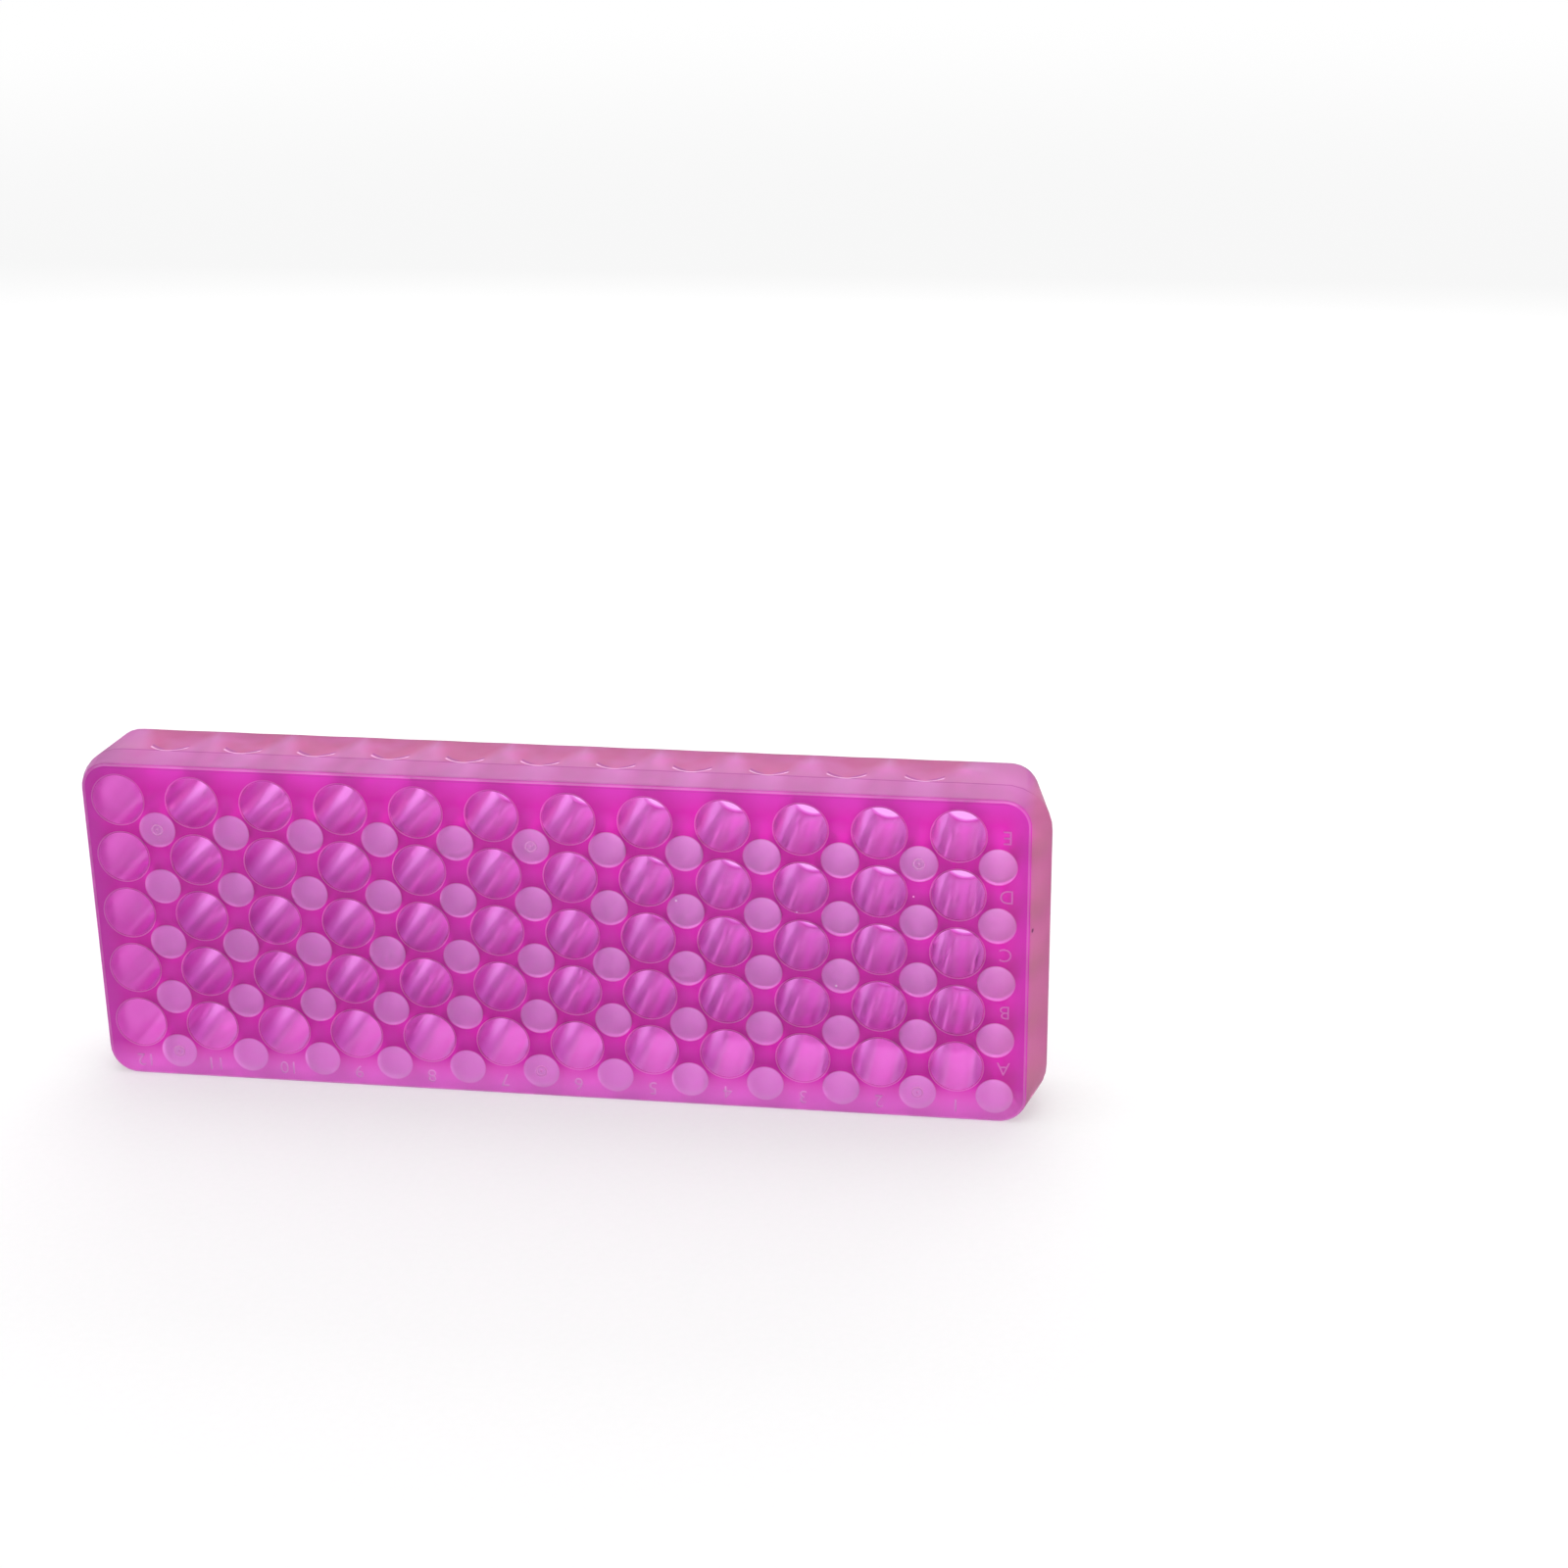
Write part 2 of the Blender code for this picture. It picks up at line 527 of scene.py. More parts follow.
    def sections(self) -> list[tuple[float, float]]:
        """Lists the rings of the outer wall from front to back as pairs of depth and inset."""
        sizes = self.sizes
        edge = []
        for step in range(self.edge_steps + 1):
            angle = math.radians(90) * step / self.edge_steps
            depth = sizes.edge_radius * (1 - math.cos(angle))
            edge.append((depth, sizes.edge_radius * (1 - math.sin(angle))))
        line = sizes.parting_depth
        near, far = line - self.parting_half_width, line + self.parting_half_width
        front = spaced(sizes.edge_radius, near, self.front_rings)
        lips = spaced(far, line + self.lip_reach, self.lip_rings)
        rear = spaced(line + self.lip_reach, sizes.depth - sizes.edge_radius, self.back_rings)
        rings = edge + [(depth, 0.0) for depth in front[1:]]
        rings += [(line, self.parting_groove)]
        rings += [(depth, 0.0) for depth in lips + rear[1:-1]]
        rings += [(sizes.depth - depth, inset) for depth, inset in reversed(edge)]
        return rings + [(sizes.depth, self.rim_inset)]

    def raise_wall(self, shape: bmesh.types.BMesh) -> None:
        """Extrudes the outer wall, ring by ring, from the front sheet to the back one.

        Args:
            shape: Both sheets with their rims on the outline.
        """
        ring = [e for e in shape.edges if e.is_boundary and all(v.co.y < 0 for v in e.verts)]
        frames = {v: self.outline_frame(v.co) for e in ring for v in e.verts}
        for depth, inset in self.sections():
            made, ring = grown(shape, ring)
            next_frames = {}
            for vert in made:
                joined = (edge.other_vert(vert) for edge in vert.link_edges)
                next_frames[vert] = next(frames[old] for old in joined if old in frames)
                vert.co = self.on_section(next_frames[vert], depth, inset)
            frames = next_frames

    def refine_upper_wall(self, shape: bmesh.types.BMesh) -> None:
        """Subdivides the upper wall round the sink lips, where the rings are closest.

        Args:
            shape: The whole body, with its upper wall still flat.
        """
        top = self.sizes.height - 0.2 * MM
        start = self.sizes.parting_depth - 0.3 * MM - self.sizes.depth / 2
        stop = self.sizes.parting_depth + self.lip_reach + 0.01 * MM - self.sizes.depth / 2
        edges = []
        for edge in shape.edges:
            one, two = (vert.co for vert in edge.verts)
            level = abs(one.y - two.y) < WELD and min(one.z, two.z) > top
            if level and start < one.y < stop:
                edges.append(edge)
        bmesh.ops.subdivide_edges(shape, edges=edges, cuts=self.fine_cuts, use_grid_fill=True)

    def sink_upper_wall(self, shape: bmesh.types.BMesh) -> None:
        """Lowers the upper wall by the depth of the sink marks.

        Args:
            shape: The whole body.
        """
        half_depth = self.sizes.depth / 2
        for vert in shape.verts:
            flat = vert.co.z > self.sizes.height - 0.1 * MM
            inside = abs(vert.co.y) < half_depth - 0.5 * self.sizes.edge_radius
            if flat and inside:
                vert.co.z -= self.sinks.drop(self.sizes, vert.co.x, vert.co.y + half_depth)


def spaced(start: float, stop: float, count: int) -> list[float]:
    """Gives count values from start to stop, both included, evenly spaced."""
    return [start + (stop - start) * step / (count - 1) for step in range(count)]


def finished(shape: bmesh.types.BMesh, name: str) -> bpy.types.Object:
    """Makes an object of a finished shape, smooth and with weighted normals.

    Args:
        shape: The shape, which is freed.
        name: Name of the object and its mesh.

    Returns:
        The object, linked to the scene.
    """
    mesh = bpy.data.meshes.new(name)
    shape.to_mesh(mesh)
    shape.free()
    mesh.shade_smooth()
    piece = bpy.data.objects.new(name, mesh)
    bpy.context.scene.collection.objects.link(piece)
    weighted = piece.modifiers.new("even_shading", "WEIGHTED_NORMAL")
    weighted.mode = "FACE_AREA"
    weighted.keep_sharp = True
    return piece


@dataclass
class MouldMarks:
    """Raised row letters, column numbers and gate rings on the front face.

    The characters read upright when the rack stands on its other long wall, so they are upside
    down here, with column 1 at the right and row A at the bottom.
    """

    sizes: RackSizes = field(default_factory=RackSizes)
    letters: str = "ABCDE"
    character_height: float = 3.1 * MM
    stroke_thinning: float = 0.02
    outline_weld: float = 1e-4
    rise: float = 0.15 * MM
    sunk: float = 0.05 * MM
    number_row: float = 4.70
    letter_column: float = 11.61
    ring_radius: float = 1.35 * MM
    ring_width: float = 0.32 * MM
    pip_radius: float = 0.30 * MM
    gates: tuple[tuple[int, int], ...] = ((0, 0), (5, 0), (10, 0), (0, 4), (5, 4), (10, 4))

    @property
    def face_y(self) -> float:
        """Y of the front face."""
        return -self.sizes.depth / 2

    def character(self, text: str, middle: Vector) -> bmesh.types.BMesh:
        """Models one number or letter, upside down on the front face.

        Args:
            text: What to write.
            middle: Its middle in X and Z.

        Returns:
            The closed solid, in place.
        """
        curve = bpy.data.curves.new(f"character_{text}", "FONT")
        curve.body = text
        curve.align_x = "CENTER"
        curve.align_y = "CENTER"
        curve.offset = -self.stroke_thinning / 2
        curve.resolution_u = 4
        carrier = bpy.data.objects.new(curve.name, curve)
        bpy.context.scene.collection.objects.link(carrier)
        bpy.context.view_layer.update()
        mesh = carrier.to_mesh()
        shape = bmesh.new()
        shape.from_mesh(mesh)
        carrier.to_mesh_clear()
        bpy.data.objects.remove(carrier)
        bpy.data.curves.remove(curve)
        bmesh.ops.remove_doubles(shape, verts=list(shape.verts), dist=self.outline_weld)
        bmesh.ops.dissolve_degenerate(shape, edges=list(shape.edges), dist=self.outline_weld)
        (left, right), (low, high) = (
            (min(places), max(places))
            for places in zip(*((vert.co.x, vert.co.y) for vert in shape.verts))
        )
        scale = self.character_height / (high - low)
        centre = Vector(((left + right) / 2, (low + high) / 2, 0))
        bmesh.ops.translate(shape, verts=list(shape.verts), vec=-centre)
        bmesh.ops.scale(shape, verts=list(shape.verts), vec=(scale, scale, scale))
        turn = Matrix.Rotation(math.radians(180), 4, "Y") @ LIE_IN_XZ
        bmesh.ops.transform(shape, verts=list(shape.verts), matrix=turn)
        self.thicken(shape)
        start = Vector((middle.x, self.face_y + self.sunk, middle.z))
        bmesh.ops.translate(shape, verts=list(shape.verts), vec=start)
        return shape

    def thicken(self, shape: bmesh.types.BMesh) -> None:
        """Extrudes flat faces in the XZ plane forwards into a closed solid."""
        flat = list(shape.faces)
        front = bmesh.ops.extrude_face_region(shape, geom=flat, use_keep_orig=True)["geom"]
        bmesh.ops.translate(shape, verts=verts_in(front), vec=(0, -(self.rise + self.sunk), 0))

    def gate_ring(self, middle: Vector) -> bmesh.types.BMesh:
        """Models one raised ring with a small pip in it, as a gate leaves.

        Args:
            middle: Middle of the ring in X and Z.

        Returns:
            The closed solids, in place.
        """
        shape = bmesh.new()
        ring = (self.ring_radius - self.ring_width, self.ring_radius)
        for inner, outer in (ring, (0, self.pip_radius)):
            rims = []
            for radius in (outer, inner):
                if radius:
                    circle = bmesh.ops.create_circle(
                        shape, cap_ends=not inner, segments=32, radius=radius, matrix=LIE_IN_XZ
                    )["verts"]
                    rims += edges_of(circle)
            if inner:
                bmesh.ops.bridge_loops(shape, edges=rims)
        self.thicken(shape)
        start = Vector((middle.x, self.face_y + self.sunk, middle.z))
        bmesh.ops.translate(shape, verts=list(shape.verts), vec=start)
        return shape

    def join(self, shapes: Sequence[bmesh.types.BMesh], name: str) -> bpy.types.Object:
        """Joins closed solids into one piece.

        Args:
            shapes: The solids, which are freed.
            name: Name of the piece.

        Returns:
            The piece.
        """
        whole = bmesh.new()
        for shape in shapes:
            bmesh.ops.recalc_face_normals(shape, faces=list(shape.faces))
            part = bpy.data.meshes.new(name)
            shape.to_mesh(part)
            shape.free()
            whole.from_mesh(part)
            bpy.data.meshes.remove(part)
        return finished(whole, name)

    def build(self) -> list[bpy.types.Object]:
        """Models all the marks.

        Returns:
            The column numbers, the row letters and the gate rings.
        """
        columns, rows = self.sizes.columns, self.sizes.rows
        numbers = [
            self.character(str(columns - column), self.sizes.axis(column, self.number_row))
            for column in range(columns)
        ]
        letters = [
            self.character(self.letters[rows - 1 - row], self.sizes.axis(self.letter_column, row))
            for row in range(rows)
        ]
        rings = [
            self.gate_ring(self.sizes.axis(column + 0.5, row + 0.5)) for column, row in self.gates
        ]
        return [
            self.join(numbers, "column_numbers"),
            self.join(letters, "row_letters"),
            self.join(rings, "gate_rings"),
        ]


class Graph:
    """Short calls that add linked shader nodes to a node tree."""

    def __init__(self, tree: bpy.types.NodeTree) -> None:
        """Keeps the tree that the nodes go into."""
        self.tree = tree

    def node(
        self, kind: str, inputs: dict[str | int, object] | None = None, **settings: object
    ) -> bpy.types.Node:
        """Adds a node, gives it its settings and fills its inputs.

        Args:
            kind: The node's type name without the "ShaderNode" in front.
            inputs: Values or sockets by input name or number.
            settings: Values of the node's own properties.

        Returns:
            The new node.
        """
        added = self.tree.nodes.new(f"ShaderNode{kind}")
        for key, value in settings.items():
            setattr(added, key, value)
        for key, value in (inputs or {}).items():
            if isinstance(value, Socket):
                self.tree.links.new(value, added.inputs[key])
            else:
                added.inputs[key].default_value = value
        return added

    def math(self, operation: str, *values: object, clamp: bool = False) -> Socket:
        """Adds a Math node on up to three values or sockets and returns its result."""
        inputs = dict(enumerate(values))
        return self.node("Math", inputs, operation=operation, use_clamp=clamp).outputs[0]

    def times(self, one: object, two: object) -> Socket:
        """Multiplies two values."""
        return self.math("MULTIPLY", one, two)

    def less(self, one: object, two: object) -> Socket:
        """Takes the second value from the first."""
        return self.math("SUBTRACT", one, two)

    def vector(self, operation: str, *values: object) -> bpy.types.Node:
        """Adds a Vector Math node on up to three vectors or sockets and returns it."""
        return self.node("VectorMath", dict(enumerate(values)), operation=operation)

    def fade(self, value: object, start: float, stop: float) -> Socket:
        """Gives 1 up to start and smoothly less to 0 at stop, or the reverse if stop is lower."""
        low, high = min(start, stop), max(start, stop)
        ends = (1.0, 0.0) if start < stop else (0.0, 1.0)
        inputs = {"Value": value, 1: low, 2: high, 3: ends[0], 4: ends[1]}
        return self.node("MapRange", inputs, interpolation_type="SMOOTHSTEP").outputs[0]

    def near(self, value: object, full: float, none: float, middle: float = 0.0) -> Socket:
        """Gives 1 where the value is within full of the middle and 0 where it is past none."""
        off = self.less(value, middle) if middle else value
        return self.fade(self.math("ABSOLUTE", off), full, none)

    def mix(self, factor: object, one: object, two: object) -> Socket:
        """Mixes two colours and returns the result."""
        ends = [(*end, 1.0) if isinstance(end, tuple) else end for end in (one, two)]
        inputs = {0: factor, 6: ends[0], 7: ends[1]}
        return self.node("Mix", inputs, data_type="RGBA").outputs[2]


def group_with(
    name: str, inputs: dict[str, str], outputs: dict[str, str]
) -> tuple[bpy.types.NodeTree, bpy.types.Node, bpy.types.Node]:
    """Makes an empty node group.

    Args:
        name: Name of the group.
        inputs: Kind of socket by input name, such as "Float" or "Vector".
        outputs: Kind of socket by output name.

    Returns:
        The group's tree, its input node and its output node.
    """
    tree = bpy.data.node_groups.new(name, "ShaderNodeTree")
    for label, kind in inputs.items():
        tree.interface.new_socket(label, in_out="INPUT", socket_type=f"NodeSocket{kind}")
    for label, kind in outputs.items():
        tree.interface.new_socket(label, in_out="OUTPUT", socket_type=f"NodeSocket{kind}")
    return tree, tree.nodes.new("NodeGroupInput"), tree.nodes.new("NodeGroupOutput")


def well_grid_group() -> bpy.types.NodeTree:
    """Makes the group that measures the distance to the nearest well axis.

    Returns:
        A group with the inputs Position, First Axis, Pitch and Last, and the output Distance.
    """
    tree, given, result = group_with(
        "nearest_well",
        {"Position": "Vector", "First Axis": "Vector", "Pitch": "Vector", "Last": "Vector"},
        {"Distance": "Float"},
    )
    graph = Graph(tree)
    away = graph.vector("SUBTRACT", given.outputs[0], given.outputs[1]).outputs[0]
    steps = graph.vector("DIVIDE", away, given.outputs[2]).outputs[0]
    rounded = graph.vector("FLOOR", graph.vector("ADD", steps, (0.5, 0.5, 0.5)).outputs[0])
    kept = graph.vector("MAXIMUM", rounded.outputs[0], (0, 0, 0)).outputs[0]
    kept = graph.vector("MINIMUM", kept, given.outputs[3]).outputs[0]
    nearest = graph.vector("MULTIPLY_ADD", kept, given.outputs[2], given.outputs[1]).outputs[0]
    apart = graph.vector("SUBTRACT", given.outputs[0], nearest).outputs[0]
    flat = graph.vector("MULTIPLY", apart, (1, 0, 1)).outputs[0]
    tree.links.new(graph.vector("LENGTH", flat).outputs["Value"], result.inputs[0])
    return tree


def grain_group() -> bpy.types.NodeTree:
    """Makes the group with the fine unevenness that a moulded plastic surface has.

    Returns:
        A group with the inputs Position and Scale, and the outputs Cloud, a soft variation
        round 0.5, and Grain, a fine one.
    """
    tree, given, result = group_with(
        "moulded_grain",
        {"Position": "Vector", "Scale": "Float"},
        {"Cloud": "Float", "Grain": "Float"},
    )
    graph = Graph(tree)
    scaled = {0: given.outputs[0], "Scale": given.outputs[1]}
    place = graph.node("VectorMath", scaled, operation="SCALE").outputs[0]
    for number, (scale, detail) in enumerate(((70.0, 2.0), (1500.0, 3.0))):
        noise = graph.node("TexNoise", {"Vector": place, "Scale": scale, "Detail": detail})
        tree.links.new(noise.outputs[0], result.inputs[number])
    return tree


@dataclass(frozen=True)
class Tints:
    """Colours of the dyed plastic, from its thickest parts to its thinnest, and the highlights,
    shade and glints painted on it.
    """

    thick: Tint = (0.54, 0.0, 0.31)
    back: Tint = (0.84, 0.07, 0.62)
    core: Tint = (0.62, 0.008, 0.42)
    border: Tint = (0.62, 0.016, 0.46)
    # painted light: the lower strip of the faces, paler as if lit from the floor below
    lit_foot: Tint = (1.0, 0.20, 0.86)
    disc: Tint = (1.0, 0.52, 1.0)
    well: Tint = (0.86, 0.05, 0.62)
    web: Tint = (0.92, 0.28, 0.88)
    floor: Tint = (0.93, 0.42, 0.98)
    pit: Tint = (1.0, 0.50, 0.97)
    # painted highlight: the thin light lines round the well mouths
    rim: Tint = (1.0, 0.60, 0.96)
    # painted shade and highlight of the raised marks: deeper at their base, paler above
    mark: Tint = (0.90, 0.27, 0.74)
    mark_highlight: Tint = (1.0, 0.60, 0.98)
    wall: Tint = (0.54, 0.105, 0.42)
    band: Tint = (0.62, 0.19, 0.54)
    hill: Tint = (0.56, 0.18, 0.42)
    valley: Tint = (0.46, 0.035, 0.17)
    # painted shade: the right end, darker and duller, with a painted tinge of the light from
    # behind
    end: Tint = (0.51, 0.18, 0.21)
    left_end: Tint = (0.60, 0.22, 0.54)
    # painted light: the lowest band of the outer walls, paler as if lit from the floor
    lit_sole: Tint = (1.0, 0.60, 0.95)
    # painted highlight: light lines on the sink lips and along the front edge
    highlight_line: Tint = (1.0, 0.70, 0.92)
    # painted shade: dark lines along the parting line, behind the sink lips and at the upper front
    # edge
    shade_line: Tint = (0.32, 0.02, 0.24)
    dirt: Tint = (0.03, 0.0, 0.01)
    # painted glint, which glows through the emission
    glint: Tint = (1.0, 0.96, 1.0)


@dataclass(frozen=True)
class Spot:
    """What a finish reads at a point of the surface, and the nodes that it adds to."""

    graph: Graph
    place: Socket
    x: Socket
    y: Socket
    z: Socket
    cloud: Socket


@dataclass(frozen=True)
class Polypropylene:
    """Dyed translucent polypropylene, hazy inside and softly glossy outside."""

    sizes: RackSizes
    grain: bpy.types.NodeTree
    wells: bpy.types.NodeTree
    name: str = "magenta_polypropylene"
    tints: Tints = field(default_factory=Tints)
    roughness: float = 0.60
    roughness_swing: float = 0.10
    transmission: float = 0.85
    specular: float = 0.20
    scatter: float = 0.3
    ior: float = 1.49
    scatter_radius: tuple[float, float, float] = (1.0, 0.25, 0.7)
    scatter_scale: float = 5.0 * MM
    glint_strength: float = 0.6

    def grid(self, at: Spot, across: float, down: float) -> Socket:
        """Adds the distance to the nearest point of a grid that has the pitch of the wells.

        Args:
            at: The point that is measured.
            across: Share of the column pitch by which the grid is moved from the large wells.
            down: Share of the row pitch by which it is moved.

        Returns:
            The distance's socket.
        """
        inputs = {
            "Position": at.place,
            "First Axis": self.sizes.axis(across, down),
            "Pitch": (self.sizes.column_pitch, 1.0, -self.sizes.row_pitch),
            "Last": (self.sizes.columns - 1, 0, self.sizes.rows - 1),
        }
        return at.graph.node("Group", inputs, node_tree=self.wells).outputs["Distance"]

    def colour(self, at: Spot) -> Socket:
        """Colours the plastic, here with its plain thick tint."""
        return at.graph.mix(at.cloud, self.tints.thick, self.tints.core)

    def glint(self, at: Spot) -> Socket | None:
        """Masks where painted glints glow, here nothing."""
        return None

    def material(self) -> bpy.types.Material:
        """Makes the material."""
        material = bpy.data.materials.new(self.name)
        material.use_nodes = True
        graph = Graph(material.node_tree)
        place = graph.node("TexCoord").outputs["Object"]
        parts = graph.node("SeparateXYZ", {0: place}).outputs
        grain = graph.node("Group", {"Position": place, "Scale": 1.0}, node_tree=self.grain)
        at = Spot(graph, place, parts["X"], parts["Y"], parts["Z"], grain.outputs["Cloud"])
        shader = material.node_tree.nodes["Principled BSDF"]
        swing = self.roughness_swing
        rough = graph.math("MULTIPLY_ADD", at.cloud, swing, self.roughness - swing / 2)
        graph.tree.links.new(self.colour(at), shader.inputs["Base Color"])
        graph.tree.links.new(rough, shader.inputs["Roughness"])
        for key, value in (
            ("Transmission Weight", self.transmission),
            ("Subsurface Weight", self.scatter),
            ("Subsurface Radius", self.scatter_radius),
            ("Subsurface Scale", self.scatter_scale),
            ("IOR", self.ior),
            ("Specular IOR Level", self.specular),
        ):
            shader.inputs[key].default_value = value
        # painted glints glow through the emission
        glint = self.glint(at)
        if glint is not None:
            graph.tree.links.new(glint, shader.inputs["Emission Color"])
            shader.inputs["Emission Strength"].default_value = self.glint_strength
        return material


@dataclass(frozen=True)
class WellPlastic(Polypropylene):
    """The clearer finish that the polished core pins leave inside the wells."""

    name: str = "magenta_well_surface"
    roughness: float = 0.33
    scatter: float = 0.0
    cloud_share: float = 0.3
    small_well_share: float = 0.45
    mouth_highlight_share: float = 0.35
    mouth_glint: float = 0.25
    web_thin: float = 1.1 * MM
    web_thick: float = 2.8 * MM

    def near_face(self, at: Spot, side: Side, full: float, none: float) -> Socket:
        """Gives 1 up to a depth below one face, and smoothly 0 past a greater depth.

        Args:
            at: The point that is coloured.
            side: The face.
            full: Depth up to which it gives 1.
            none: Depth from which it gives 0.

        Returns:
            The mask's socket.
        """
        sign = side.value
        face = sign * self.sizes.depth / 2
        return at.graph.fade(at.y, face - sign * full, face - sign * none)

    def colour(self, at: Spot) -> Socket:
        """Colours the wells, paler on thin floors and walls, with a painted highlight at the
        mouths.

        Args:
            at: The point that is coloured.

        Returns:
            The colour's socket.
        """
        graph, sizes, tints = at.graph, self.sizes, self.tints
        large, small = self.grid(at, 0.0, 0.0), self.grid(at, 0.5, 0.5)
        in_large = graph.fade(large, 6.0 * MM, 6.2 * MM)
        in_small = graph.less(1.0, in_large)
        floor = sizes.floor_thickness
        front, back = (
            self.near_face(at, side, floor + 0.1 * MM, floor + 0.6 * MM)
            for side in (Side.FRONT, Side.BACK)
        )
        mouth = graph.math(
            "ADD",
            graph.times(in_large, self.near_face(at, Side.FRONT, 0.05 * MM, 0.3 * MM)),
            graph.times(in_small, self.near_face(at, Side.BACK, 0.05 * MM, 0.3 * MM)),
        )
        wall = graph.math(
            "MAXIMUM", graph.less(small, sizes.small_floor), graph.less(large, sizes.large_floor)
        )
        colour = graph.mix(graph.times(at.cloud, self.cloud_share), tints.well, tints.floor)
        colour = graph.mix(graph.fade(wall, self.web_thin, self.web_thick), colour, tints.web)
        colour = graph.mix(graph.times(in_large, back), colour, tints.floor)
        pit = graph.math("MAXIMUM", front, self.small_well_share)
        colour = graph.mix(graph.times(in_small, pit), colour, tints.pit)
        # painted highlight round the mouths
        return graph.mix(graph.times(mouth, self.mouth_highlight_share), colour, tints.rim)

    def glint(self, at: Spot) -> Socket:
        """Masks the rounded mouths of the large wells, where a painted glint glows."""
        graph = at.graph
        in_large = graph.fade(self.grid(at, 0.0, 0.0), 6.1 * MM, 6.3 * MM)
        mouth = graph.times(in_large, self.near_face(at, Side.FRONT, 0.0, 0.25 * MM))
        return graph.mix(graph.times(mouth, self.mouth_glint), DARK, self.tints.glint)


@dataclass(frozen=True)
class MarkPlastic(Polypropylene):
    """The paler, opaque finish of the raised characters and rings, whose paleness is a painted
    highlight.
    """

    name: str = "magenta_raised_marks"
    highlight_share: float = 0.9
    roughness: float = 0.45
    transmission: float = 0.0
    scatter: float = 0.0

    def colour(self, at: Spot) -> Socket:
        """Colours the marks with a painted highlight, and a little deeper where they meet the
        face, as painted shade.
        """
        graph, face = at.graph, -self.sizes.depth / 2
        top = graph.fade(at.y, face - 0.14 * MM, face - 0.02 * MM)
        shade = graph.times(graph.less(1.2, at.cloud), 0.35)
        # painted highlight on the raised marks
        colour = graph.mix(self.highlight_share, self.tints.mark, self.tints.mark_highlight)
        colour = graph.mix(shade, colour, self.tints.border)
        # painted shade where the marks meet the face
        return graph.mix(top, self.tints.mark, colour)


@dataclass(frozen=True)
class SinkPlaces:
    """Where a point of the upper wall lies among the sink marks.

    The first two are distances, behind the parting line and along the wall from the middle of
    the nearest mark. The others are masks of the upper wall, of the marks' raised lips, where a
    highlight is painted, and of the dark arcs behind the ends of the lips, where shade is painted.
    """

    behind: Socket
    away: Socket
    upper: Socket
    bead: Socket
    shade: Socket


